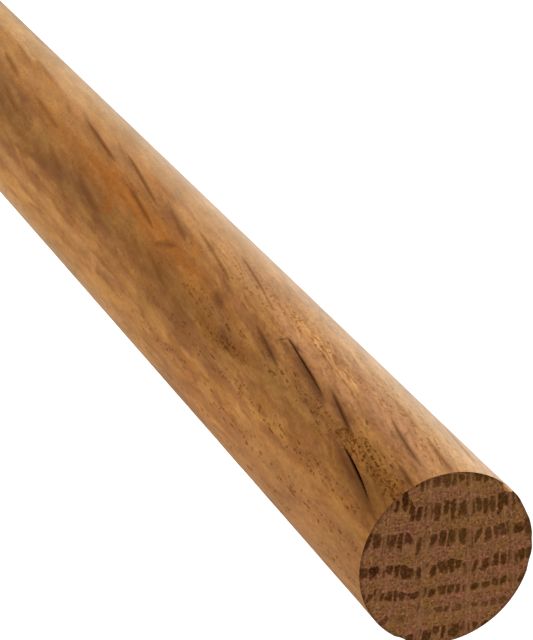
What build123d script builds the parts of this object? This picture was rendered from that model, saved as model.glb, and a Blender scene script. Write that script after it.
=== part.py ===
from build123d import *
import os
from math import cos, radians, sin

# Oak dowel rod, 1 in by 12 in, round all along and sawn square at both ends.
#
# The rod stands on its lower sawn end. +Z runs up the rod, and the origin is the centre of
# the lower end. It is one turned piece of solid oak: nothing is inside it or fastened to it.
#
# What the saw and the drying have left at the upper end is part of its form: open drying
# checks that follow the slope of the grain, and a split with a torn chip beside it on the
# rim. A mark's place is its distance down from the upper end and its angle about +Z, counted
# from +X.
#
# Sizes are in millimetres and angles in degrees.

# Driving dimensions
rod_diameter = 25.4
rod_length = 304.8

# Drying checks: slim open splits, deepest in the middle, that run out at both ends
check_mouth = 0.5

first_check_down = 11.0
first_check_angle = 272.3
first_check_length = 13.5
first_check_depth = 0.75
first_check_slope = 10.5

second_check_down = 25.0
second_check_angle = 252.5
second_check_length = 11.0
second_check_depth = 0.3
second_check_slope = 10.5

third_check_down = 40.5
third_check_angle = 248.3
third_check_length = 20.0
third_check_depth = 0.55
third_check_slope = 7.0

fourth_check_down = 51.0
fourth_check_angle = 257.0
fourth_check_length = 11.0
fourth_check_depth = 0.3
fourth_check_slope = 9.5

# Split that opens at the rim of the upper end, and the chip torn out beside it
rim_split_angle = 192.3
rim_split_length = 3.6
rim_split_depth = 0.9
rim_chip_angle = 185.5
rim_chip_width = 2.2
rim_chip_depth = 0.6

# Worked out from the values above
rod_radius = rod_diameter / 2


def skin_plane(down, angle):
    """Plane that touches the rod's skin: x runs up the rod and z points out of it."""
    outward = Vector(cos(radians(angle)), sin(radians(angle)), 0)
    centre = outward * rod_radius + Vector(0, 0, rod_length - down)
    return Plane(origin=centre, x_dir=(0, 0, 1), z_dir=outward)


def cut_check(down, angle, length, depth, slope=0.0):
    """Open a check with a V-edged wheel that is turned by the slope of the grain.

    With a slope above 0, the check's upper end lies at the greater angle. The wheel's radius
    comes from the check's length and depth, so that the cut is as deep as asked in the middle
    and has run out of the skin at both ends.
    """
    wheel_radius = (length**2 / 4 + depth**2) / (2 * depth)
    skin = skin_plane(down, angle)
    along = skin.x_dir.rotate(Axis(skin.origin, skin.z_dir), -slope)
    across = skin.z_dir.cross(along)
    hub = skin.origin + skin.z_dir * (wheel_radius - depth)
    with BuildSketch(Plane(origin=skin.origin, x_dir=across, z_dir=along)) as wheel_edge:
        with BuildLine():
            Polyline((0, -depth), (check_mouth, depth), (-check_mouth, depth), close=True)
        make_face()
    revolve(wheel_edge.sketch, axis=Axis(hub, across), mode=Mode.SUBTRACT)


def cut_chip(angle, width, depth):
    """Scoop a chip out of the upper rim with a ball that is as wide as the chip there."""
    ball_radius = (width**2 / 4 + depth**2) / (2 * depth)
    stand_off = (ball_radius - depth) * sin(radians(45))
    skin = skin_plane(0, angle)
    with Locations(skin.origin + (skin.x_dir + skin.z_dir) * stand_off):
        Sphere(ball_radius, mode=Mode.SUBTRACT)


with BuildPart() as dowel_rod:
    with BuildSketch(Plane.XY):
        Circle(rod_radius)
    extrude(amount=rod_length)

    cut_check(
        first_check_down,
        first_check_angle,
        first_check_length,
        first_check_depth,
        first_check_slope,
    )
    cut_check(
        second_check_down,
        second_check_angle,
        second_check_length,
        second_check_depth,
        second_check_slope,
    )
    cut_check(
        third_check_down,
        third_check_angle,
        third_check_length,
        third_check_depth,
        third_check_slope,
    )
    cut_check(
        fourth_check_down,
        fourth_check_angle,
        fourth_check_length,
        fourth_check_depth,
        fourth_check_slope,
    )
    cut_check(0, rim_split_angle, rim_split_length, rim_split_depth)
    cut_chip(rim_chip_angle, rim_chip_width, rim_chip_depth)

dowel_rod.part.label = "dowel_rod"

os.makedirs("parts", exist_ok=True)
export_step(dowel_rod.part, "parts/dowel_rod.step")
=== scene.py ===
"""Oak dowel rod: a turned round of red oak, sawn square, with open drying checks near its upper end."""

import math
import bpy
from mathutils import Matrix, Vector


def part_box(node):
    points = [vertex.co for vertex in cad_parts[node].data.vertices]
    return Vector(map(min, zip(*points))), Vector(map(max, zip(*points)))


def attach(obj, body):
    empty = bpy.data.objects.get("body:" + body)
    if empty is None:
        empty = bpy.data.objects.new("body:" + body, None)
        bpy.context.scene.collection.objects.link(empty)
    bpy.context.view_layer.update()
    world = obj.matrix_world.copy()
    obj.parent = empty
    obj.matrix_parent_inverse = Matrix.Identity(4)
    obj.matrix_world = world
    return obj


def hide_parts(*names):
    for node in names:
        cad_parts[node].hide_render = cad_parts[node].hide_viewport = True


bl_info = {
    "name": "Oak Dowel Rod",
    "version": (1, 0, 0),
    "blender": (4, 5, 0),
    "location": "3D View > Sidebar > Dowel Rod",
    "description": "Turns an oak dowel rod, gives it its grain and sets a plain studio round it",
    "category": "Add Mesh",
}

import bmesh
import bpy
from bpy.props import FloatProperty, FloatVectorProperty, IntProperty, PointerProperty
from mathutils import Matrix, Vector

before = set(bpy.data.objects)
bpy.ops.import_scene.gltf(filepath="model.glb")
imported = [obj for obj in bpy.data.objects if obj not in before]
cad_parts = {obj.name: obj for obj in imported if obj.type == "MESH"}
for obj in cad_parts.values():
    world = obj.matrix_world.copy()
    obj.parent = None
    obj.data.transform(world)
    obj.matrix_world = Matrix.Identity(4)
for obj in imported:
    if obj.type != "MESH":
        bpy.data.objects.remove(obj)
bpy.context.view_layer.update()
rod_low, rod_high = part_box("dowel_rod")

MM = 0.001
MM_IN_A_METRE = 1000.0

# The rod, from the frame
ROD_RADIUS = (rod_high.x - rod_low.x) / 2
ROD_LENGTH = rod_high.z - rod_low.z
RADIUS_MM = ROD_RADIUS / MM
LENGTH_MM = ROD_LENGTH / MM
FRONT_ANGLE = 270.0

# Grain of the wood, in millimetres and degrees. The pith lies beyond the rod on one side.
# Down the rod the rings and rays drift by these slopes and sway, and near the upper end the
# rays swerve by a little more.
PITH_ANGLE = 228.0
PITH_DISTANCE = 120.0
RING_DRIFT = 0.033
RAY_DRIFT = 0.12
RAY_SWERVE = 2.4
SWERVE_LENGTH = 30.0
SWAY = 1.2
RING_EDGES = (22.5, 18.9, 15.1, 12.1, 8.3, 3.9, -0.6, -4.3, -7.4, -10.4, -13.5, -17.0)
RING_STRENGTHS = (0.8, 0.9, 0.7, 0.8, 1.05, 1.0, 0.95, 0.85, 0.65, 0.95, 0.7, 0.7)
RING_RANGE = (-17.0, 22.5)
RAY_PITCH = 1.28
WIDE_RAY_PITCH = 6.4

# Past this place across the rays, the rings step by a height that grows with their own place
STEP_PLACE = 5.7
STEP_SPREAD = 0.5
STEP_HEIGHT = 0.6
STEP_GROWTH = 0.08


def srgb(red, green, blue):
    """A colour named by its screen values from 0 to 255, as Blender's linear numbers."""
    parts = []
    for value in (red, green, blue):
        part = value / 255
        parts.append(part / 12.92 if part <= 0.04045 else ((part + 0.055) / 1.055) ** 2.4)
    return tuple(parts)


def rgba(colour):
    """A colour property as a node's colour."""
    return (*colour[:3], 1.0)


def tint(red, green, blue):
    """A node's colour named by its screen values from 0 to 255."""
    return rgba(srgb(red, green, blue))


# ---------------------------------------------------------------------------
# Sizes and colours that a user would change


class DowelRodSizes(bpy.types.PropertyGroup):
    """How finely the rod is made."""

    facets: IntProperty(
        name="Facets", description="Faces round the rod", default=320, min=64, max=512
    )
    rows: IntProperty(
        name="Rows", description="Faces along the rod", default=152, min=16, max=400
    )
    check_cuts: IntProperty(
        name="Check cuts", description="Extra cuts of the faces round a drying check", default=3, min=0, max=6
    )
    turning_wave: FloatProperty(
        name="Turning wave",
        description="How far the sanded round strays inwards from a true cylinder",
        default=0.05 * MM,
        unit="LENGTH",
        subtype="DISTANCE",
    )
    sharp_angle: FloatProperty(
        name="Sharp angle",
        description="Edges sharper than this stay crisp",
        default=math.radians(35),
        unit="ROTATION",
        subtype="ANGLE",
    )


class DowelRodOak(bpy.types.PropertyGroup):
    """Colours of the oak."""

    pale: FloatVectorProperty(
        name="Pale grain", description="Pale long grain", subtype="COLOR", default=srgb(173, 119, 63), max=1
    )
    warm: FloatVectorProperty(
        name="Warm grain", description="Warm long grain", subtype="COLOR", default=srgb(157, 101, 47), max=1
    )
    brown: FloatVectorProperty(
        name="Brown grain", description="Broad brown clouds in the long grain", subtype="COLOR",
        default=srgb(121, 72, 18), max=1
    )
    fleck: FloatVectorProperty(
        name="Ray fleck", description="Rays where they come out on the skin", subtype="COLOR",
        default=srgb(86, 48, 24), max=1
    )
    pore: FloatVectorProperty(
        name="Pore", description="Open vessels", subtype="COLOR", default=srgb(96, 52, 14), max=1
    )
    open_wood: FloatVectorProperty(
        name="Open wood", description="Light, porous wood on the sawn ends", subtype="COLOR",
        default=srgb(118, 79, 51), max=1
    )
    dense_wood: FloatVectorProperty(
        name="Dense wood", description="Dark, dense wood on the sawn ends", subtype="COLOR",
        default=srgb(50, 22, 8), max=1
    )


class DowelRodStage(bpy.types.PropertyGroup):
    """Floor, lamps and camera."""

    floor_size: FloatProperty(
        name="Floor", description="Side of the floor", default=8.0, unit="LENGTH", subtype="DISTANCE"
    )
    floor_pale: FloatVectorProperty(
        name="Pale floor", description="Floor on the key light's side", subtype="COLOR",
        default=srgb(222, 222, 222), max=1
    )
    floor_dark: FloatVectorProperty(
        name="Dark floor", description="What the rod mirrors of the floor on the other sides",
        subtype="COLOR", default=srgb(110, 110, 110), max=1
    )
    world_light: FloatProperty(name="World light", description="Even light from all round", default=0.4)
    key_light: FloatProperty(
        name="Key light", description="Power of the large soft lamp", default=15.0, unit="POWER"
    )
    fill_light: FloatProperty(
        name="Fill light", description="Power of the lamp on the other side", default=14.0, unit="POWER"
    )
    front_light: FloatProperty(
        name="Front light", description="Power of the lamp over the camera", default=4.5, unit="POWER"
    )
    lens: FloatProperty(name="Lens", description="Focal length in millimetres", default=168.75)


# ---------------------------------------------------------------------------
# Small helpers for modelling by operator


def only(obj):
    """Selects obj alone and makes it the active object."""
    bpy.ops.object.select_all(action="DESELECT")
    obj.select_set(True)
    bpy.context.view_layer.objects.active = obj


def named(name):
    """The new primitive, by the name it is to have, with its place moved into its mesh."""
    obj = bpy.context.active_object
    obj.name = name
    obj.data.name = name
    only(obj)
    bpy.ops.object.transform_apply(location=True, rotation=True, scale=True)
    return obj


def pick(obj, kind, wanted):
    """Selects in edit mode the faces or edges of obj for which wanted(element) holds."""
    bpy.ops.mesh.select_mode(type=kind)
    bpy.ops.mesh.select_all(action="DESELECT")
    mesh = bmesh.from_edit_mesh(obj.data)
    for element in mesh.faces if kind == "FACE" else mesh.edges:
        if wanted(element):
            element.select_set(True)
    mesh.select_flush_mode()
    bmesh.update_edit_mesh(obj.data)


def apply(obj, kind, **settings):
    """Adds a modifier with these settings and applies it."""
    only(obj)
    modifier = obj.modifiers.new(kind.title(), kind)
    for name, value in settings.items():
        setattr(modifier, name, value)
    bpy.ops.object.modifier_apply(modifier=modifier.name)


def angle_of(point):
    """Angle of a point about the rod's axis, in degrees from the front, counted anticlockwise."""
    return math.degrees(math.atan2(point.x, -point.y))


# ---------------------------------------------------------------------------
# The rod

# A face belongs to a sawn end if its normal is more upright than this
SAWN_NORMAL = 0.5

# Bands of faces inside each rim, in millimetres, each measured inwards from the one before
RIM_BANDS = (0.25, 1.25, 3.0, 4.0)

# Where the faces round a check are finer: a share of its half length, and millimetres to each side
FINE_REACH = 1.1
FINE_SIDES = (-0.7, 1.0)

# Size of the turning wave's swells and the length over which it sets in, in millimetres, and the
# share of the radius past which a point lies on the skin
WAVE_SIZE = 9.0
WAVE_FADE = 6.0
SKIN_SHARE = 0.999

# A dent moves what lies within these millimetres of the upper end and past this share of the radius
DENT_HEIGHT = 0.1
DENT_SHARE = 0.97

# Width of the sunken skin beside a check, in millimetres, on the side of the greater angle and on
# the other, and the share of a check's width that it keeps at its tips
DIP_WIDTH = 1.8
DIP_LIP = 0.1
TIP_WIDTH = 0.35


class Check:
    """An open drying check on the skin: its middle, its length, width and depth, and its slope.

    Distances are in millimetres down from the upper end, angles in degrees about +Z. A check
    with a bend is bowed sideways by that much in its middle, and one with a dip has skin that
    sinks towards it on the side of the greater angle.
    """

    def __init__(self, down, angle, length, width, depth, slope, bend=0.0, dip=0.0):
        self.down = down
        self.turn = angle - FRONT_ANGLE
        self.length = length
        self.width = width
        self.depth = depth
        self.slope = math.tan(math.radians(slope))
        self.bend = bend
        self.dip = dip

    def offset(self, point):
        """Distance along the check as a share of its half length, and across it in millimetres."""
        along = (LENGTH_MM - point.z / MM) - self.down
        share = along / (self.length / 2)
        across = math.radians(angle_of(point) - self.turn) * RADIUS_MM
        return share, across + along * self.slope + self.bend * (1 - share * share)

    def depth_at(self, point):
        """Depth of the check under a point of the skin, in millimetres."""
        share, side = self.offset(point)
        reach = 1 - share * share
        if reach <= 0:
            return 0.0
        half = self.width / 2 * (TIP_WIDTH + (1 - TIP_WIDTH) * reach)
        crack = self.depth * reach * max(0.0, 1 - abs(side) / half)
        beside = max(0.0, 1 - side / DIP_WIDTH) if side > 0 else max(0.0, 1 + side / DIP_LIP)
        return crack + self.dip * reach * beside**2


# The open checks near the upper end
CHECKS = (
    Check(11.3, 272.6, 14.0, 0.36, 0.7, 11.5, bend=0.28, dip=0.1),
    Check(25.0, 252.7, 11.0, 0.34, 0.16, 10.5, bend=-0.1, dip=0.05),
    Check(40.5, 248.6, 20.0, 0.32, 0.38, 7.3, bend=0.15, dip=0.07),
    Check(51.0, 257.2, 11.0, 0.34, 0.12, 9.5, dip=0.04),
)

# Small dents in the upper rim: angle and width in degrees, depth in millimetres
RIM_DENTS = (
    (19, 9, 0.15), (165, 16, 0.12), (127, 12, 0.1), (142, 8, 0.08), (272, 9, 0.12), (232, 7, 0.08),
)

# The split in the upper rim and the chip torn out beside it, in degrees and millimetres
RIM_SPLIT = {"angle": 192.3, "length": 3.6, "depth": 0.9, "mouth": 0.5}
RIM_CHIP = {"angle": 185.5, "width": 2.2, "depth": 0.6}


def is_sawn(face):
    """True for a face of a sawn end."""
    return abs(face.normal.z) > SAWN_NORMAL


def near_check(face):
    """True for a face of the skin that a check opens, or that lies beside one."""
    centre = face.calc_center_median()
    if is_sawn(face):
        return False
    for check in CHECKS:
        share, side = check.offset(centre)
        if abs(share) < FINE_REACH and FINE_SIDES[0] < side < FINE_SIDES[1]:
            return True
    return False


def round_blank(sizes):
    """A plain round of the rod's size, in fine rows, with a band inside the rim of each end."""
    bpy.ops.object.select_all(action="DESELECT")
    bpy.ops.mesh.primitive_cylinder_add(
        vertices=sizes.facets,
        radius=ROD_RADIUS,
        depth=ROD_LENGTH,
        end_fill_type="NGON",
        location=(0, 0, rod_low.z + ROD_LENGTH / 2),
    )
    rod = named("oak_dowel_rod")
    bpy.ops.object.mode_set(mode="EDIT")
    pick(rod, "EDGE", lambda edge: abs(edge.verts[0].co.z - edge.verts[1].co.z) > ROD_LENGTH / 2)
    bpy.ops.mesh.subdivide(number_cuts=sizes.rows - 1)
    pick(rod, "FACE", is_sawn)
    for band in RIM_BANDS:
        bpy.ops.mesh.inset(thickness=band * MM, use_boundary=True)
    pick(rod, "FACE", near_check)
    if sizes.check_cuts:
        bpy.ops.mesh.subdivide(number_cuts=sizes.check_cuts)
    bpy.ops.object.mode_set(mode="OBJECT")
    return rod


def weigh(obj, name, weight_of):
    """A vertex group of that name, with weight_of(point) as each vertex's weight."""
    group = obj.vertex_groups.new(name=name)
    for vertex in obj.data.vertices:
        weight = weight_of(vertex.co)
        if weight > 0:
            group.add([vertex.index], weight, "REPLACE")
    return group.name


def wear_of(point):
    """Share of the turning wave at a point: none at the sawn ends, all of it a little further in."""
    if math.hypot(point.x, point.y) < ROD_RADIUS * SKIN_SHARE:
        return 0.0
    from_end = min(point.z - rod_low.z, rod_high.z - point.z)
    return min(1.0, from_end / (WAVE_FADE * MM))


def dent_of(point):
    """Depth of the small dents in the upper rim at a point, in millimetres."""
    too_far_in = math.hypot(point.x, point.y) < ROD_RADIUS * DENT_SHARE
    if rod_high.z - point.z > DENT_HEIGHT * MM or too_far_in:
        return 0.0
    angle = angle_of(point) + FRONT_ANGLE
    total = 0.0
    for place, width, depth in RIM_DENTS:
        away = (angle - place + 180) % 360 - 180
        total = max(total, depth * max(0.0, 1 - (away / (width / 2)) ** 2))
    return total


def shape_skin(rod, sizes):
    """Strays the skin from a true round, dents the rim, then opens the drying checks."""
    wave = bpy.data.textures.new("turning_wave", "CLOUDS")
    wave.noise_scale = WAVE_SIZE * MM
    wave.noise_depth = 1
    apply(
        rod,
        "DISPLACE",
        texture=wave,
        texture_coords="LOCAL",
        direction="NORMAL",
        mid_level=1.0,
        strength=sizes.turning_wave,
        vertex_group=weigh(rod, "wear", wear_of),
    )
    apply(
        rod,
        "DISPLACE",
        direction="NORMAL",
        mid_level=0.0,
        strength=-MM,
        vertex_group=weigh(rod, "dents", dent_of),
    )
    deepest = max(check.depth for check in CHECKS)
    apply(
        rod,
        "DISPLACE",
        direction="NORMAL",
        mid_level=0.0,
        strength=-deepest * MM,
        vertex_group=weigh(
            rod, "checks", lambda point: max(check.depth_at(point) for check in CHECKS) / deepest
        ),
    )
    rod.vertex_groups.clear()
    bpy.data.textures.remove(wave)


def cut_away(rod, cutter):
    """Takes the cutter's shape off the rod."""
    apply(rod, "BOOLEAN", operation="DIFFERENCE", solver="EXACT", object=cutter)
    bpy.data.objects.remove(cutter)


def rim_point(angle, height, inwards):
    """A point so far above the rim of the upper end and in from it, in metres."""
    turn = math.radians(angle)
    reach = ROD_RADIUS - inwards
    return Vector((reach * math.cos(turn), reach * math.sin(turn), rod_high.z + height))


def chip_rim(rod, angle, width, depth):
    """Scoops a chip out of the upper rim with a ball that stands off it at 45 degrees."""
    ball = (width**2 / 4 + depth**2) / (2 * depth) * MM
    stand_off = (ball - depth * MM) * math.sin(math.radians(45))
    bpy.ops.object.select_all(action="DESELECT")
    bpy.ops.mesh.primitive_ico_sphere_add(
        subdivisions=4, radius=ball, location=rim_point(angle, stand_off, -stand_off)
    )
    cut_away(rod, named("chip"))


def split_rim(rod, angle, length, depth, mouth):
    """Opens a split that runs in and down from the upper rim, with a disc that has a V edge."""
    wheel = (length**2 / 4 + depth**2) / (2 * depth) * MM
    half = mouth * MM / 2 * wheel / depth
    bpy.ops.object.select_all(action="DESELECT")
    bpy.ops.mesh.primitive_cone_add(
        vertices=96, radius1=wheel, radius2=0, depth=half, location=(0, 0, half / 2)
    )
    blade = named("blade")
    bpy.ops.object.mode_set(mode="EDIT")
    pick(blade, "FACE", lambda face: face.normal.z < -0.9)
    bpy.ops.mesh.extrude_region_move(TRANSFORM_OT_translate={"value": (0, 0, -half)})
    bpy.ops.mesh.merge(type="CENTER")
    bpy.ops.object.mode_set(mode="OBJECT")
    turn = Matrix.Rotation(math.radians(angle), 4, "Z") @ Matrix.Rotation(math.radians(90), 4, "X")
    blade.data.transform(Matrix.Translation(rim_point(angle, 0, depth * MM - wheel)) @ turn)
    cut_away(rod, blade)


# The rod's map: the share of its width that the skin takes, the gap round each part, the height
# of the middle of each end's disc, and the least upright part of a face's normal on a disc
SIDE_SHARE = 0.76
MAP_GAP = 0.004
UPPER_DISC = 0.75
LOWER_DISC = 0.25
DISC_NORMAL = 0.7


def lay_out_map(obj):
    """The rod's own map: its skin as one upright strip, and its two ends as discs beside it."""
    layer = obj.data.uv_layers.get("OFBake") or obj.data.uv_layers.new(name="OFBake")
    obj.data.uv_layers.active = layer
    layer.active_render = True
    disc = (1 - SIDE_SHARE) / 2 - MAP_GAP
    disc_x = SIDE_SHARE + (1 - SIDE_SHARE) / 2
    for face in obj.data.polygons:
        facing = angle_of(face.center)
        middle = UPPER_DISC if face.normal.z > 0 else LOWER_DISC
        for loop in face.loop_indices:
            point = obj.data.vertices[obj.data.loops[loop].vertex_index].co
            if abs(face.normal.z) > DISC_NORMAL:
                place = (
                    disc_x + point.x / ROD_RADIUS * disc,
                    middle + point.y / ROD_RADIUS * disc,
                )
            else:
                turn = angle_of(point)
                if turn - facing > 180:
                    turn -= 360
                if facing - turn > 180:
                    turn += 360
                across = (turn + 180) / 360
                up = (point.z - rod_low.z) / ROD_LENGTH
                place = (
                    MAP_GAP + across * (SIDE_SHARE - 2 * MAP_GAP),
                    MAP_GAP + up * (1 - 2 * MAP_GAP),
                )
            layer.data[loop].uv = place
    for other in [map_layer for map_layer in obj.data.uv_layers if map_layer.name != "OFBake"]:
        obj.data.uv_layers.remove(other)


# ---------------------------------------------------------------------------
# Shader maths


class Wire:
    """A socket in a material. Maths on wires adds Math nodes, so a pattern reads as a formula."""

    def __init__(self, tree, socket):
        self.tree = tree
        self.socket = socket

    def _math(self, operation, *values):
        return self.tree.node("Math", {"operation": operation}, dict(enumerate(values)))

    def __add__(self, other):
        return self._math("ADD", self, other)

    def __radd__(self, other):
        return self._math("ADD", other, self)

    def __sub__(self, other):
        return self._math("SUBTRACT", self, other)

    def __rsub__(self, other):
        return self._math("SUBTRACT", other, self)

    def __mul__(self, other):
        return self._math("MULTIPLY", self, other)

    def __rmul__(self, other):
        return self._math("MULTIPLY", other, self)

    def __truediv__(self, other):
        return self._math("DIVIDE", self, other)

    def __rtruediv__(self, other):
        return self._math("DIVIDE", other, self)

    def __pow__(self, other):
        return self._math("POWER", self, other)

    def __abs__(self):
        return self._math("ABSOLUTE", self)

    def floor(self):
        return self._math("FLOOR", self)

    def fraction(self):
        return self._math("FRACT", self)

    def most(self, other):
        return self._math("MAXIMUM", self, other)

    def step(self, start, end):
        """0 before start and 1 past end, smooth between. With start above end it falls instead."""
        return self.tree.node(
            "MapRange",
            {"interpolation_type": "SMOOTHSTEP"},
            {"Value": self, "From Min": start, "From Max": end},
        )

    def line(self, slope, offset):
        """This value times a slope, plus an offset."""
        return self._math("MULTIPLY_ADD", self, slope, offset)


class Tree:
    """A material's nodes."""

    def __init__(self, material):
        self.nodes = material.node_tree.nodes
        self.links = material.node_tree.links

    def node(self, kind, settings=None, inputs=None, output=0):
        """Adds a node of a kind, with its settings first and then its values or links."""
        made = self.nodes.new("ShaderNode" + kind)
        for name, value in (settings or {}).items():
            if name == "points":
                self._points(made.mapping, value)
            else:
                setattr(made, name, value)
        for name, value in (inputs or {}).items():
            if isinstance(value, Wire):
                self.links.new(value.socket, made.inputs[name])
            else:
                made.inputs[name].default_value = value
        return Wire(self, made.outputs[output])

    @staticmethod
    def _points(mapping, points):
        """Gives a curve these points, with straight lines between them."""
        curve = mapping.curves[0]
        mapping.use_clip = False
        for number, (x, y) in enumerate(points):
            if number < 2:
                curve.points[number].location = (x, y)
            else:
                curve.points.new(x, y)
        for point in curve.points:
            point.handle_type = "VECTOR"
        mapping.update()

    def place(self, x, y, z):
        """A vector from three values."""
        return self.node("CombineXYZ", {}, {"X": x, "Y": y, "Z": z})

    def noise(self, place, scale=1.0, detail=2.0, roughness=0.5):
        """Soft noise, from about 0.2 to about 0.8."""
        return self.node(
            "TexNoise",
            {"noise_dimensions": "3D"},
            {"Vector": place, "Scale": scale, "Detail": detail, "Roughness": roughness},
        )

    def cells(self, place, dimensions="3D", output="Distance"):
        """Distance to the nearest of many scattered points, or that point's own colour."""
        return self.node(
            "TexVoronoi",
            {"voronoi_dimensions": dimensions},
            {"Vector": place, "Scale": 1.0, "Randomness": 1.0},
            output,
        )

    def chance(self, x, y, output="Value"):
        """A random value for each whole pair x, y."""
        return self.node(
            "TexWhiteNoise", {"noise_dimensions": "3D"}, {"Vector": self.place(x, y, 0.5)}, output
        )

    def mix(self, first, second, share, way="MIX"):
        """Two colours blended."""
        return self.node(
            "Mix",
            {"data_type": "RGBA", "blend_type": way, "clamp_factor": True},
            {0: share, 6: first, 7: second},
            2,
        )

    def scaled(self, vector, scale):
        """A vector made longer or shorter, or a colour made brighter or darker."""
        return self.node("VectorMath", {"operation": "SCALE"}, {0: vector, "Scale": scale})

    def parts(self, vector):
        """The three parts of a vector."""
        first = self.node("SeparateXYZ", {}, {0: vector})
        return [Wire(self, socket) for socket in first.socket.node.outputs]


# ---------------------------------------------------------------------------
# Oak


class Grain:
    """Where a point lies in the wood, in millimetres: towards the pith, across the rays, down."""

    def __init__(self, tree):
        spot = tree.node("TexCoord", output="Object")
        x, y, z = tree.parts(spot)
        turned = tree.node(
            "Mapping",
            {"vector_type": "POINT"},
            {
                "Vector": spot,
                "Rotation": (0, 0, -math.radians(PITH_ANGLE)),
                "Scale": (MM_IN_A_METRE,) * 3,
            },
        )
        inwards, across, _ = tree.parts(turned)
        _, _, upright = tree.parts(tree.node("TexCoord", output="Normal"))

        self.down = LENGTH_MM - z * MM_IN_A_METRE
        self.radius = (inwards * inwards + across * across) ** 0.5
        self.turn = tree.node("Math", {"operation": "ARCTAN2"}, {0: x, 1: y * -1.0})
        self.skin_arc = self.turn * RADIUS_MM
        self.end = abs(upright).step(0.85, 0.97)
        self.plain_across = across

        swept = tree.node("Math", {"operation": "EXPONENT"}, {0: self.down * (-1 / SWERVE_LENGTH)})
        sway = tree.noise(tree.place(inwards * 0.05, across * 0.05, self.down * 0.014), detail=1.0)
        swerve = tree.noise(tree.place(inwards * 0.05 + 7.0, across * 0.05, self.down * 0.02), detail=1.0)
        self.inwards = inwards + self.down * RING_DRIFT + (sway - 0.5) * SWAY
        swerved = across + self.down * RAY_DRIFT + RAY_SWERVE - swept * RAY_SWERVE
        self.across = swerved + (swerve - 0.5) * SWAY
        self.ray = self.across * PITH_DISTANCE / (PITH_DISTANCE - inwards)

        low, high = RING_RANGE
        last = len(RING_EDGES) - 1
        edges = sorted(((edge - low) / (high - low), number / last) for number, edge in enumerate(RING_EDGES))
        place = self.inwards - self.across * self.across / (2 * PITH_DISTANCE)
        stepped = self.ray.step(STEP_PLACE - STEP_SPREAD, STEP_PLACE + STEP_SPREAD)
        place = place - stepped * place.line(STEP_GROWTH, STEP_HEIGHT)
        count = tree.node("FloatCurve", {"points": edges}, {"Value": (place - low) / (high - low)})
        self.rings = count * last

        wander = tree.noise(tree.place(inwards * 0.3, across * 0.3, self.down * 0.25), detail=1.0) - 0.5
        twitch = tree.noise(tree.place(inwards * 1.1, across * 1.1, self.down * 0.42), detail=1.0) - 0.5
        self.fibre_inwards = self.inwards + wander * 0.9 + twitch * 0.5
        self.fibre_across = self.across + wander * 0.6 - twitch * 0.4
        age = self.rings.fraction()
        self.porous = age.step(0.45, 0.65) * age.step(1.02, 0.95)
        self.fray = tree.noise(tree.place(inwards * 1.3, across * 1.3, self.down * 1.3), detail=1.0)

    def noise(self, tree, across, along, detail=2.0, roughness=0.5):
        """Noise with this fineness across the fibres and along them."""
        place = tree.place(self.fibre_inwards * across, self.fibre_across * across, self.down * along)
        return tree.noise(place, detail=detail, roughness=roughness)

    def pores(self, tree, crowding=0.0):
        """Open vessels: slim tubes down the grain, most of them in the porous wood of each year."""
        tubes = tree.scaled(tree.place(self.fibre_inwards, self.fibre_across, 0.0), 2.0)
        near = tree.cells(tubes, "2D")
        rank, girth, _ = tree.parts(tree.cells(tubes, "2D", output="Color"))
        often = rank + self.porous * 0.75 + crowding
        return (near - girth * 0.2 - crowding * 0.06).step(0.4, 0.08) * often.step(0.96, 1.05)


class Blot:
    """A large dark patch on a sawn end: where it lies in the wood and how far it reaches."""

    def __init__(self, inwards, across, height, width):
        self.inwards = inwards
        self.across = across
        self.height = height
        self.width = width

    def mask(self, grain, ragged):
        """1 inside the patch, 0 outside it."""
        up = (grain.inwards - self.inwards) * (2 / self.height)
        aside = (grain.across - self.across) * (2 / self.width)
        return (up * up + aside * aside + ragged * 1.8).step(1.15, 0.5)


def strongest(marks, *place):
    """The greatest of many marks' masks at a place."""
    total = marks[0].mask(*place)
    for mark in marks[1:]:
        total = total.most(mark.mask(*place))
    return total


# Large dark patches on the upper end
BLOTS = (
    Blot(-0.2, 10.6, 1.7, 2.1),
    Blot(9.6, 6.5, 2.8, 1.1),
    Blot(7.6, -8.4, 1.8, 1.6),
    Blot(3.0, -10.2, 1.3, 2.6),
    Blot(-3.6, 10.0, 1.6, 1.3),
)


# Tints of the sawn ends
OLIVE_WOOD = tint(116, 80, 42)
RUDDY_WOOD = tint(124, 77, 54)
PALE_GRIT = tint(184, 120, 80)
DARK_GRIT = tint(58, 30, 12)
RAY_BAND = tint(132, 94, 64)
RAY_LINE = tint(80, 42, 26)
END_PORE = tint(54, 24, 8)
OLIVE_FLAME = tint(60, 36, 10)
FLAME_CORE = tint(88, 56, 28)
# Painted shade along the rim of the sawn ends
END_RIM_SHADE = tint(60, 32, 12)


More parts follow.
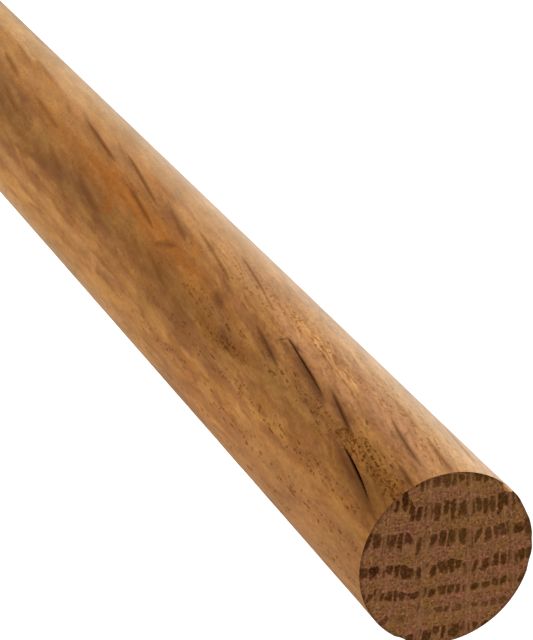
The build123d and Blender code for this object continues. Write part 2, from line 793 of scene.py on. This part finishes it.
def flames(tree, grain, ragged, coarse):
    """The dense wood of each year, as flames between the rays.

    Also gives the flames' cores, the place across each column and two chance values of a flame.
    """
    block = (grain.ray / WIDE_RAY_PITCH + 0.5).floor()
    drift = tree.noise(tree.place(grain.ray * 0.35, grain.inwards * 0.12, 0.0), detail=1.0) - 0.5
    column = grain.ray / RAY_PITCH + drift * 2.0 + ragged * 0.3
    cell = column.floor()
    aside = (column.fraction() - 0.5) * 2.0
    lift = tree.chance(cell, 7.0) - 0.5
    rings = grain.rings + (tree.chance(block, 3.0) - 0.5) * 0.1 + coarse * 0.25 + lift * 0.14
    ring = rings.floor()
    age = rings.fraction()
    size, shade, girth = tree.parts(tree.chance(cell, ring, "Color"))
    last = len(RING_STRENGTHS) - 1
    strength = tree.node(
        "FloatCurve",
        {"points": [(number / last, value) for number, value in enumerate(RING_STRENGTHS)]},
        {"Value": ring / last},
    )

    reach = (0.36 + size * 0.28) * strength
    hang = (age / reach).line(1.8, -0.8)
    leaning = (aside - hang * (0.35 - girth * 0.5)) / (0.64 + girth * 0.46)
    bounds = leaning * leaning + abs(hang) ** 3.0 * 0.85 + ragged * 3.2
    flame = bounds.step(1.45, 0.2)
    core = bounds.step(0.3, -0.5)
    flame = flame * (shade + strength * 0.8).step(0.4, 0.75) * (0.85 + shade * 0.15)
    flame = flame * strength.step(0.5, 0.9).line(0.35, 0.65)
    return flame, core, aside, size, girth


def end_grain(tree, grain, oak):
    """Colour and height of the sawn ends: dense wood in dark flames, split by the rays, with painted shade
    along the rim.
    """
    flat = tree.place(grain.inwards, grain.across, 0.0)
    ragged = tree.noise(flat, scale=1.3, detail=3.0, roughness=0.65) - 0.5
    coarse = tree.noise(flat, scale=0.45, detail=1.0) - 0.5
    specks = tree.noise(flat, scale=2.4, detail=3.0, roughness=0.75)
    grit = tree.noise(
        tree.place(grain.inwards + 40.0, grain.across, 0.0), scale=2.1, detail=3.0, roughness=0.75
    )

    flame, core, aside, size, girth = flames(tree, grain, ragged, coarse)
    flame = flame.most(strongest(BLOTS, grain, ragged))
    flame = flame * (0.8 + specks.step(0.66, 0.42) * 0.2)

    off_ray = ((grain.ray / WIDE_RAY_PITCH).fraction() - 0.5) * WIDE_RAY_PITCH
    wide = abs(off_ray)
    wide_ray = (wide + ragged * 0.3).step(0.3, 0.1)
    beside_ray = (wide + ragged * 0.4).step(0.55, 0.2)
    ray_line = abs(off_ray - 0.2 + ragged * 0.3).step(0.2, 0.02) * coarse.step(-0.12, 0.12)
    slim_ray = abs(aside).step(0.75, 0.98)
    pore = grain.pores(tree) * grit.step(0.35, 0.6)

    clouds = tree.noise(tree.scaled(flat, 0.25), detail=2.0)
    colour = tree.mix(rgba(oak.open_wood), OLIVE_WOOD, clouds.step(0.46, 0.6) * 0.7)
    colour = tree.mix(colour, RUDDY_WOOD, clouds.step(0.46, 0.34) * 0.7)
    colour = tree.mix(colour, PALE_GRIT, grit.step(0.53, 0.68) * 0.6)
    colour = tree.mix(colour, DARK_GRIT, grit.step(0.43, 0.31) * 0.75)
    rays = (wide_ray * 0.5).most(slim_ray * coarse.step(-0.1, 0.1) * 0.35)
    colour = tree.mix(colour, RAY_BAND, rays)
    colour = tree.mix(colour, RAY_LINE, ray_line * 0.5)
    colour = tree.mix(colour, END_PORE, pore * 0.7)
    olive = (grain.across * -1.0 + size * 8.0).step(-4.0, 8.0)
    dense = tree.mix(rgba(oak.dense_wood), OLIVE_FLAME, olive)
    dense = tree.mix(dense, FLAME_CORE, core * girth.step(0.3, 0.8) * 0.35)
    colour = tree.mix(colour, dense, flame * (1.0 - beside_ray * 0.65))
    colour = tree.scaled(colour, 0.42 + specks * 1.16)
    # Painted shade: a darker band just inside the rim of each sawn end
    rim = (grain.radius + ragged * 0.4).step(RADIUS_MM - 0.6, RADIUS_MM)
    colour = tree.mix(colour, END_RIM_SHADE, rim * 0.5)
    height = specks * 0.6 + grit * 0.3 - flame * 0.3 - pore * 0.5
    return colour, height


class Mark:
    """A mark on the skin that follows the grain: where it starts and ends, its width and strength.

    Each end is a distance down from the upper end in millimetres and an angle in degrees.
    """

    def __init__(self, start, end, width, strength, soft=0.0, bend=0.0):
        self.start = start
        self.end = end
        self.width = width
        self.strength = strength
        self.soft = soft
        self.bend = bend

    def mask(self, down, arc):
        """Strength of the mark at a place on the skin, in millimetres down and round."""
        (top, top_angle), (bottom, bottom_angle) = self.start, self.end
        half = (bottom - top) / 2
        middle = (top + bottom) / 2
        arc_top = math.radians(top_angle - FRONT_ANGLE) * RADIUS_MM
        arc_bottom = math.radians(bottom_angle - FRONT_ANGLE) * RADIUS_MM
        lean = (arc_bottom - arc_top) / 2
        along = down.line(1 / half, -middle / half)
        square = along * along
        across = arc - along.line(lean, (arc_top + arc_bottom) / 2)
        if self.bend:
            across = across - square.line(self.bend, -self.bend)
        reach = abs(across).line(2 / self.width, square * square)
        return reach.step(1.05, self.soft) * self.strength


# Rays that come out on the skin as slim dark lines
STREAKS = (
    Mark((3, 280), (19.5, 265.5), 0.7, 0.95, bend=0.28),
    Mark((18, 258.5), (31.5, 247), 1.2, 0.85),
    Mark((29, 256.2), (50, 243), 1.2, 0.85, bend=0.1),
    Mark((43, 263), (58, 252.5), 1.2, 0.7),
    Mark((3, 240.6), (19, 230.5), 1.15, 0.8, bend=-0.2),
    Mark((-1, 254), (7, 250), 1.1, 0.7),
    Mark((-1, 227.5), (12, 221), 1.3, 0.6),
    Mark((13, 221), (26, 216), 1.3, 0.5),
    Mark((3, 203), (19, 192), 1.6, 0.5),
    Mark((59, 236), (65, 232), 0.9, 0.5),
    Mark((64, 232), (83, 219.5), 0.9, 0.7),
    Mark((72, 245), (95, 231.5), 1.1, 0.68, bend=0.2),
    Mark((90, 247.5), (106, 235.5), 1.1, 0.62),
    Mark((100, 257.5), (119, 247), 1.2, 0.8),
    Mark((106, 243.3), (133, 227), 1.15, 0.85),
    Mark((84, 280.5), (97, 269), 1.4, 0.4),
    Mark((95, 277.5), (105, 271.5), 1.6, 0.3),
    Mark((128, 242), (151, 232), 1.2, 0.85),
    Mark((137, 278), (150, 268), 1.8, 0.5),
    Mark((116, 278.5), (132, 271.5), 2.0, 0.55),
    Mark((150, 256), (168, 250), 1.7, 0.5),
    Mark((166, 270), (180, 262), 1.8, 0.4),
    Mark((178, 249.5), (194, 241), 1.8, 0.6),
    Mark((44, 244.6), (50.6, 243), 0.9, 0.8),
    Mark((49.7, 243.4), (50.7, 249.8), 1.2, 0.8),
    Mark((18.3, 246.6), (20.2, 244.4), 0.7, 0.65),
    Mark((9.6, 245), (10.8, 236), 0.9, 0.4),
    Mark((12.6, 234), (13.6, 229.5), 0.9, 0.5),
)

# Soft shade beside the open checks, and knotty spots
SHADES = (
    Mark((-1, 284), (21, 268), 3.0, 0.8, soft=-0.2),
    Mark((16, 261), (32, 249), 2.4, 0.6, soft=-0.3),
    Mark((27.5, 258.6), (46, 248), 2.6, 0.75, soft=-0.2),
    Mark((38, 252.5), (51.5, 245.5), 2.0, 0.22, soft=-0.3),
    Mark((42, 265), (58, 254.6), 2.2, 0.12, soft=-0.4),
    Mark((5, 242.5), (17, 234), 2.0, 0.45, soft=-0.4),
    Mark((-1, 257), (6, 253), 1.8, 0.4, soft=-0.4),
    Mark((66, 261.5), (74, 256.5), 3.0, 0.6, soft=-0.3),
    Mark((91, 254), (97, 264), 3.0, 0.65, soft=-0.3),
    Mark((55, 279), (64, 271), 3.6, 0.45, soft=-0.3),
    Mark((66, 298), (90, 288), 6.0, 0.25, soft=-0.5),
    Mark((105, 262), (120, 256), 2.4, 0.3, soft=-0.5),
    Mark((106, 246), (134, 230), 3.0, 0.35, soft=-0.6),
    Mark((127, 245), (152, 234), 3.0, 0.35, soft=-0.6),
    Mark((72, 247), (97, 234), 3.0, 0.2, soft=-0.6),
    Mark((108, 284), (134, 274), 4.0, 0.3, soft=-0.4),
    Mark((135, 284), (158, 270), 4.0, 0.22, soft=-0.4),
    Mark((165, 275), (190, 262), 4.0, 0.3, soft=-0.4),
)

# Brown, orange, golden and rosy clouds
BROWN_CLOUDS = (
    Mark((-30, 282), (24, 274), 9.0, 0.6, soft=0.1),
    Mark((10, 275), (80, 269), 6.0, 0.25, soft=-0.2),
    Mark((-14, 303), (16, 299), 18.0, 0.45, soft=-0.5),
    Mark((-30, 314), (46, 308), 12.0, 0.2, soft=-0.3),
    Mark((56, 295), (108, 292), 4.4, 0.32, soft=-0.2),
    Mark((52, 276), (118, 276), 7.6, 0.55, soft=-0.1),
    Mark((85, 284), (215, 276), 7.0, 0.4, soft=-0.1),
    Mark((-4, 288), (38, 283), 3.2, 0.45, soft=-0.3),
    Mark((102, 275), (136, 267), 4.0, 0.4, soft=-0.3),
    Mark((-8, 320), (14, 306), 5.0, 0.35, soft=-0.3),
)
ORANGE_CLOUDS = (
    Mark((60, 262), (200, 243), 9.0, 0.75, soft=-0.3),
    Mark((110, 230), (150, 213), 3.2, 0.5, soft=0.2),
    Mark((114, 272), (119, 266), 3.6, 0.9, soft=-0.2),
    Mark((84, 250), (92, 244), 3.0, 0.6, soft=-0.3),
    Mark((164, 238), (176, 228), 5.0, 0.5, soft=-0.4),
    Mark((40, 235), (66, 228), 3.0, 0.35, soft=-0.3),
    Mark((84, 244), (96, 237), 3.0, 0.7, soft=-0.3),
    Mark((10, 340), (40, 332), 4.0, 0.4, soft=-0.3),
)
GOLDEN_CLOUDS = (
    Mark((88, 308), (260, 302), 3.2, 0.6, soft=-0.2),
    Mark((44, 238), (106, 225), 6.0, 0.75, soft=-0.3),
    Mark((50, 334), (280, 325), 11.0, 0.66, soft=-0.5),
    Mark((74, 240), (110, 228), 5.0, 0.8, soft=-0.2),
    Mark((122, 247), (260, 236), 8.0, 0.8, soft=-0.3),
    Mark((22, 236), (72, 223), 4.0, 0.55, soft=-0.3),
    Mark((-20, 300), (60, 303), 2.2, 0.3, soft=-0.3),
)
ROSY_CLOUDS = (
    Mark((16, 247), (60, 236), 3.4, 0.8, soft=-0.2),
    Mark((-10, 242), (34, 230), 6.0, 0.7, soft=-0.3),
    Mark((104, 240), (180, 226), 5.0, 0.5, soft=-0.3),
)

# Where the vessels crowd together
CROWDS = (
    Mark((-9, 265), (24, 260), 4.0, 0.85, soft=0.3),
    Mark((12, 268), (42, 260), 3.0, 0.4, soft=0.1),
    Mark((22, 236), (64, 222), 5.6, 0.55, soft=-0.1),
    Mark((47, 274), (74, 280), 2.6, 0.6, soft=0.2),
)


# Tints of the skin
RUSSET_BAND = tint(148, 95, 53)
STRAW_BAND = tint(181, 127, 64)
ORANGE = tint(174, 99, 20)
GOLDEN = tint(196, 142, 82)
ROSY = tint(188, 133, 84)
CREAM_TOP = tint(191, 149, 99)
CREAM_MIDDLE = tint(177, 133, 80)
CREAM_LOW = tint(204, 160, 108)
# Painted sheen: greyer cream at the very edge of the pale side
CREAM_EDGE_SHEEN = tint(188, 152, 114)
NEAR_LEFT = tint(154, 105, 60)
# Painted sheen along the +X edge of the skin
FAR_LEFT_SHEEN = tint(200, 160, 114)
CROWD_GROUND = tint(136, 86, 36)
CROWD_DARK = tint(84, 46, 14)
CROWD_PALE = tint(172, 116, 52)
LINE_DARK = tint(166, 112, 60)
LINE_PALE = tint(214, 164, 98)
QUARTER_FLECK = tint(196, 142, 80)
SHADE_BROWN = tint(92, 54, 28)
LOW_FLECK = tint(116, 66, 24)
PALE_FLECK = tint(134, 88, 52)
REDDISH_PORE = tint(134, 80, 28)
# Torn wood with painted shade, for the inside of the checks
TORN_WOOD_AND_SHADE = tint(40, 20, 9)
LOW_TORN_WOOD_AND_SHADE = tint(82, 46, 24)
RIM_TORN_WOOD = tint(136, 76, 28)
FIBRE_STAIN = (0.5, 0.36, 0.2, 1.0)


def cream_with_painted_sheen(tree, down, rightwards):
    """Colour of the pale side towards -X, which changes down the rod and round it: a paler wood tone that
    also carries painted sheen from the key lamp, greyest at the edge.
    """
    colour = tree.mix(CREAM_TOP, CREAM_MIDDLE, down.step(30.0, 60.0))
    colour = tree.mix(colour, CREAM_LOW, down.step(140.0, 175.0))
    return tree.mix(colour, CREAM_EDGE_SHEEN, rightwards.step(1.0, 1.3))


def crowded(tree, colour, crowd, fair, grainy, lines):
    """The skin's colour with its crowds of vessels: speckled, or lined on the fair side towards -X."""
    tight = crowd * (1.0 - fair)
    colour = tree.mix(colour, CROWD_GROUND, tight * 0.6)
    colour = tree.mix(colour, CROWD_DARK, tight * grainy.step(0.48, 0.38) * 0.85)
    colour = tree.mix(colour, CROWD_PALE, tight * grainy.step(0.54, 0.66) * 0.55)
    lined = crowd * fair
    colour = tree.mix(colour, LINE_DARK, lined * lines.step(0.5, 0.4))
    return tree.mix(colour, LINE_PALE, lined * lines.step(0.5, 0.6))


def fleck(tree, oak, down, rightwards):
    """Colour of the streaks: paler further down, and near the top on the side towards -X."""
    colour = tree.mix(rgba(oak.fleck), LOW_FLECK, down.step(45.0, 80.0))
    return tree.mix(colour, PALE_FLECK, rightwards.step(0.7, 0.9) * down.step(60.0, 30.0))


def torn_wood_and_shade(tree, down):
    """Colour inside the checks and the chip: torn wood darkened with painted shade, less dark further down,
    and orange torn wood near the rim.
    """
    colour = tree.mix(TORN_WOOD_AND_SHADE, LOW_TORN_WOOD_AND_SHADE, down.step(18.0, 24.0))
    return tree.mix(colour, RIM_TORN_WOOD, down.step(2.2, 1.2))


def long_grain(tree, grain, oak):
    """Colour, height and dullness of the skin: fibres, pores, rays and clouds."""
    down = grain.down
    fine = grain.noise(tree, 2.1, 0.35, roughness=0.65)
    grainy = grain.noise(tree, 3.6, 1.1, roughness=0.7)
    thread = grain.noise(tree, 1.7, 0.09)
    medium = grain.noise(tree, 0.8, 0.04)
    mottle = grain.noise(tree, 0.8, 0.14, detail=3.0, roughness=0.7)
    stipple = grain.noise(tree, 2.4, 1.1, roughness=0.6)
    patch = grain.noise(tree, 0.22, 0.07, detail=3.0, roughness=0.6)
    bands = tree.place(grain.fibre_inwards * 0.42 + 9.0, grain.fibre_across * 0.42, down * 0.022)
    hue = tree.noise(bands)
    lines = grain.noise(tree, 2.8, 0.22, roughness=0.6)
    ragged = (medium - 0.5) * 0.7

    ray_cell = tree.place(grain.fibre_inwards / 28.0, grain.fibre_across / 1.5, down / 45.0)
    ray = tree.cells(ray_cell).step(0.15, 0.06)
    quarter = (abs(grain.plain_across) / RADIUS_MM).step(0.75, 1.0)
    front = abs(grain.turn + 0.1).step(1.5, 1.2)
    facing = abs(grain.turn).step(2.3, 1.6)

    wriggle = ragged * 0.35 + (stipple - 0.5) * 0.25
    streak = strongest(STREAKS, down + wriggle, grain.skin_arc + wriggle)
    shade = strongest(SHADES, down + ragged, grain.skin_arc + ragged)
    cloudy_down = down + ragged * 3.0
    cloudy_arc = grain.skin_arc + ragged * 3.0
    brown = strongest(BROWN_CLOUDS, cloudy_down, cloudy_arc)
    orange = strongest(ORANGE_CLOUDS, cloudy_down, cloudy_arc)
    golden = strongest(GOLDEN_CLOUDS, cloudy_down, cloudy_arc)
    rosy = strongest(ROSY_CLOUDS, cloudy_down, cloudy_arc)
    crowd = strongest(CROWDS, cloudy_down, cloudy_arc)

    # The camera is rolled, so that -X lies to its right and +X to its left
    rightwards = grain.turn * -1.0 + ragged * 0.3
    # The pale side towards -X: a paler wood tone mixed with painted sheen from the key lamp
    smooth = rightwards.step(0.68, 1.15).most(rightwards.step(0.7, 0.84) * down.step(70.0, 105.0) * 0.7)
    smooth = smooth * facing
    # Painted sheen: the skin near the +X edge is made lighter and greyer, more so further down the rod
    left_edge_sheen = (grain.turn + ragged * 0.2).step(0.95, 1.35) * (0.12 + down.step(60.0, 170.0) * 0.75)
    left_edge_sheen = left_edge_sheen * facing
    lively = (grain.turn * -1.0).step(0.1, 0.35) * (grain.turn * -1.0).step(1.05, 0.75)

    sharp = 1.0 - down.step(50.0, 110.0) * front * 0.7
    pore = grain.pores(tree, crowd) * grain.fray.step(0.46, 0.62) * sharp * (1.0 - rosy.most(smooth * 0.6))
    colour = tree.mix(rgba(oak.warm), rgba(oak.pale), medium.step(0.36, 0.62))
    colour = tree.mix(colour, RUSSET_BAND, hue.step(0.5, 0.6) * 0.65)
    colour = tree.mix(colour, STRAW_BAND, hue.step(0.48, 0.38) * 0.6)
    colour = tree.mix(colour, rgba(oak.brown), brown)
    colour = tree.mix(colour, ORANGE, orange)
    colour = tree.mix(colour, GOLDEN, golden)
    colour = tree.mix(colour, ROSY, rosy)
    colour = tree.mix(colour, cream_with_painted_sheen(tree, down, rightwards), smooth * 0.95)
    near_left = grain.turn.step(0.45, 0.7) * down.step(60.0, 30.0) * facing
    colour = tree.mix(colour, NEAR_LEFT, near_left * 0.6)
    colour = tree.mix(colour, FAR_LEFT_SHEEN, left_edge_sheen)
    colour = crowded(tree, colour, crowd, rightwards.step(0.4, 0.6), grainy, lines)
    colour = tree.mix(colour, rgba(oak.fleck), ray * (1.0 - quarter) * (1.0 - front * 0.9) * 0.5)
    colour = tree.mix(colour, QUARTER_FLECK, ray * quarter * 0.4)
    calm = grain.turn.step(0.1, 0.4) * facing * 0.3
    fibres = fine.step(0.46, 0.66) * sharp * (0.22 + lively * 0.12) * (1.0 - calm)
    fibres = fibres + thread.step(0.5, 0.62) * sharp * (0.1 + lively * 0.08)
    fibres = fibres - thread.step(0.46, 0.36) * sharp * (0.06 + lively * 0.1)
    stippled = 1.0 + (stipple - 0.5) * (0.52 - calm * 0.6)
    stippled = stippled + (grainy - 0.5) * down.step(75.0, 35.0) * facing * 0.36
    tone = (0.66 + mottle * 0.68) * stippled * (0.66 + patch * 0.68)
    # Darker near the upper end, towards the front and the +X side
    darker_near_top = down.step(18.0, 2.0) * grain.turn.step(-0.5, -0.15) * facing
    colour = tree.scaled(colour, tone * (1.05 - darker_near_top * 0.09))
    colour = tree.mix(colour, FIBRE_STAIN, fibres * 1.3, "MULTIPLY")
    colour = tree.mix(colour, SHADE_BROWN, shade)
    colour = tree.mix(colour, fleck(tree, oak, down, rightwards), streak)
    reddish = (grain.turn * -1.0).step(0.4, 0.7) * facing
    pore_colour = tree.mix(rgba(oak.pore), REDDISH_PORE, reddish)
    colour = tree.mix(colour, pore_colour, pore * (0.66 + crowd * 0.34))
    # Torn wood and painted shade deep inside the checks
    inside = (RADIUS_MM - grain.radius).step(0.18, 0.45)
    colour = tree.mix(colour, torn_wood_and_shade(tree, down), inside * 0.85)
    height = fine * 0.6 + mottle * 0.3 - pore * 0.3 - streak * 0.4
    dull = (pore * 0.9).most(streak * 0.8).most(shade * 0.6).most(crowd * 0.7)
    return colour, height, dull


def oak_material(oak):
    """Red oak: long grain on the round, end grain on the sawn ends."""
    material = bpy.data.materials.new("red_oak")
    material.use_nodes = True
    material.node_tree.nodes.clear()
    tree = Tree(material)
    grain = Grain(tree)
    end_colour, end_height = end_grain(tree, grain, oak)
    skin_colour, skin_height, dull = long_grain(tree, grain, oak)
    colour = tree.mix(skin_colour, end_colour, grain.end)
    height = skin_height * (1.0 - grain.end) + end_height * grain.end
    dull = dull.most(grain.end).most((RADIUS_MM - grain.radius).step(0.1, 0.3))
    bump = tree.node("Bump", {}, {"Strength": 1.0, "Distance": 0.06 * MM, "Height": height}, "Normal")
    shader = tree.node(
        "BsdfPrincipled",
        {},
        {
            "Base Color": colour,
            "Roughness": 0.9,
            "IOR": 1.0,
            "Coat Weight": 1.0 - dull,
            "Coat Roughness": 0.38,
            "Coat IOR": 1.28,
            "Normal": bump,
        },
    )
    out = tree.nodes.new("ShaderNodeOutputMaterial")
    tree.links.new(shader.socket, out.inputs["Surface"])
    return material


class DOWEL_OT_turn_rod(bpy.types.Operator):
    """Turns the rod, opens its checks, marks its rim and gives it its grain"""

    bl_idname = "dowel.turn_rod"
    bl_label = "Turn Rod"

    def execute(self, context):
        sizes = context.scene.dowel_rod_sizes
        rod = round_blank(sizes)
        shape_skin(rod, sizes)
        split_rim(rod, **RIM_SPLIT)
        chip_rim(rod, **RIM_CHIP)
        only(rod)
        bpy.ops.object.shade_smooth_by_angle(angle=sizes.sharp_angle)
        lay_out_map(rod)
        rod.data.materials.clear()
        rod.data.materials.append(oak_material(context.scene.dowel_rod_oak))
        for face in rod.data.polygons:
            face.material_index = 0
        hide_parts("dowel_rod")
        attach(rod, "root")
        return {"FINISHED"}


# ---------------------------------------------------------------------------
# Stage

# Lamps: name, place and side in metres, and the stage's setting for its power
LAMPS = (
    ("key", (-1.2, -0.1, 0.65), 0.9, "key_light"),
    ("fill", (1.1, -0.3, 0.8), 0.8, "fill_light"),
    ("front", (0.1, -1.1, 0.8), 0.8, "front_light"),
)
LAMP_AIM = 0.7

# The camera: its place from the middle of the upper end in millimetres, its tilt and roll in degrees
CAMERA_PLACE = (-5.38, -241.71, 322.17)
CAMERA_TILT = 31.24
CAMERA_ROLL = 135.19
SENSOR_WIDTH = 36.0
CLIP_START = 0.01

# The floor's colour and glow to the camera. To all else it turns from dark to pale across a
# slanting band, in metres, towards the key lamp.
FLOOR_SEEN = tint(240, 240, 240)
FLOOR_GLOW = (0.35, 0.35, 0.35, 1)
NO_GLOW = (0, 0, 0, 1)
PALE_SLANT = 0.8
PALE_FROM = -0.04
PALE_TO = -0.16


def lamp(name, place, target, size, power):
    """A square soft lamp that looks at a target."""
    data = bpy.data.lights.new(name, "AREA")
    data.shape = "SQUARE"
    data.size = size
    data.energy = power
    obj = bpy.data.objects.new(name, data)
    bpy.context.scene.collection.objects.link(obj)
    obj.location = place
    obj.rotation_euler = (Vector(target) - Vector(place)).to_track_quat("-Z", "Y").to_euler()


def floor_material(stage):
    """A floor that shows white to the camera, apart from shadows, and is mirrored darker in front."""
    material = bpy.data.materials.new("studio_floor")
    material.use_nodes = True
    material.node_tree.nodes.clear()
    tree = Tree(material)
    seen = tree.node("LightPath", output="Is Camera Ray")
    x, y, _ = tree.parts(tree.node("TexCoord", output="Object"))
    pale_side = (x - y * PALE_SLANT).step(PALE_FROM, PALE_TO)
    tone = tree.mix(rgba(stage.floor_dark), rgba(stage.floor_pale), pale_side)
    tone = tree.mix(tone, FLOOR_SEEN, seen)
    glow = tree.mix(NO_GLOW, FLOOR_GLOW, seen)
    paper = tree.node(
        "BsdfPrincipled",
        {},
        {"Base Color": tone, "Roughness": 0.9, "Emission Color": glow, "Emission Strength": 1.0},
    )
    out = tree.nodes.new("ShaderNodeOutputMaterial")
    tree.links.new(paper.socket, out.inputs["Surface"])
    return material


class DOWEL_OT_set_stage(bpy.types.Operator):
    """Sets the floor, the lamps, the world and the camera"""

    bl_idname = "dowel.set_stage"
    bl_label = "Set Stage"

    def execute(self, context):
        stage = context.scene.dowel_rod_stage
        bpy.ops.object.select_all(action="DESELECT")
        bpy.ops.mesh.primitive_plane_add(size=stage.floor_size, location=(0, 0, rod_low.z))
        floor = named("floor")
        floor.data.materials.append(floor_material(stage))

        world = bpy.data.worlds.new("studio")
        world.use_nodes = True
        world.node_tree.nodes.clear()
        tree = Tree(world)
        seen = tree.node("LightPath", output="Is Camera Ray")
        sky = tree.node(
            "Background",
            {},
            {"Color": (1, 1, 1, 1), "Strength": stage.world_light + seen * (1.0 - stage.world_light)},
        )
        out = tree.nodes.new("ShaderNodeOutputWorld")
        tree.links.new(sky.socket, out.inputs["Surface"])
        context.scene.world = world

        target = (0, 0, rod_high.z * LAMP_AIM)
        for name, place, size, power in LAMPS:
            lamp(name, place, target, size, getattr(stage, power))

        camera = bpy.data.cameras.new("camera")
        camera.lens = stage.lens
        camera.sensor_width = SENSOR_WIDTH
        camera.clip_start = CLIP_START
        holder = bpy.data.objects.new("camera", camera)
        context.scene.collection.objects.link(holder)
        place = Vector(CAMERA_PLACE) * MM + Vector((0, 0, rod_high.z))
        tilt = Matrix.Rotation(math.radians(CAMERA_TILT), 4, "X")
        roll = Matrix.Rotation(math.radians(CAMERA_ROLL), 4, "Z")
        holder.matrix_world = Matrix.Translation(place) @ tilt @ roll
        context.scene.camera = holder
        context.scene.view_settings.view_transform = "Standard"
        return {"FINISHED"}


class DOWEL_PT_panel(bpy.types.Panel):
    """Lists the steps that make the rod and its stage"""

    bl_label = "Dowel Rod"
    bl_idname = "DOWEL_PT_panel"
    bl_space_type = "VIEW_3D"
    bl_region_type = "UI"
    bl_category = "Dowel Rod"

    def draw(self, context):
        for step in STEPS:
            self.layout.operator(step.bl_idname)


GROUPS = (
    ("dowel_rod_sizes", DowelRodSizes),
    ("dowel_rod_oak", DowelRodOak),
    ("dowel_rod_stage", DowelRodStage),
)
STEPS = (DOWEL_OT_set_stage, DOWEL_OT_turn_rod)


def register():
    """Adds the settings, the operators and the panel to Blender."""
    for name, group in GROUPS:
        bpy.utils.register_class(group)
        setattr(bpy.types.Scene, name, PointerProperty(type=group))
    for step in (*STEPS, DOWEL_PT_panel):
        bpy.utils.register_class(step)


def unregister():
    """Takes them away again."""
    for step in reversed((*STEPS, DOWEL_PT_panel)):
        bpy.utils.unregister_class(step)
    for name, group in reversed(GROUPS):
        delattr(bpy.types.Scene, name)
        bpy.utils.unregister_class(group)


def main():
    """Makes the rod and its stage."""
    register()
    bpy.ops.dowel.set_stage()
    bpy.ops.dowel.turn_rod()


if __name__ == "__main__":
    main()
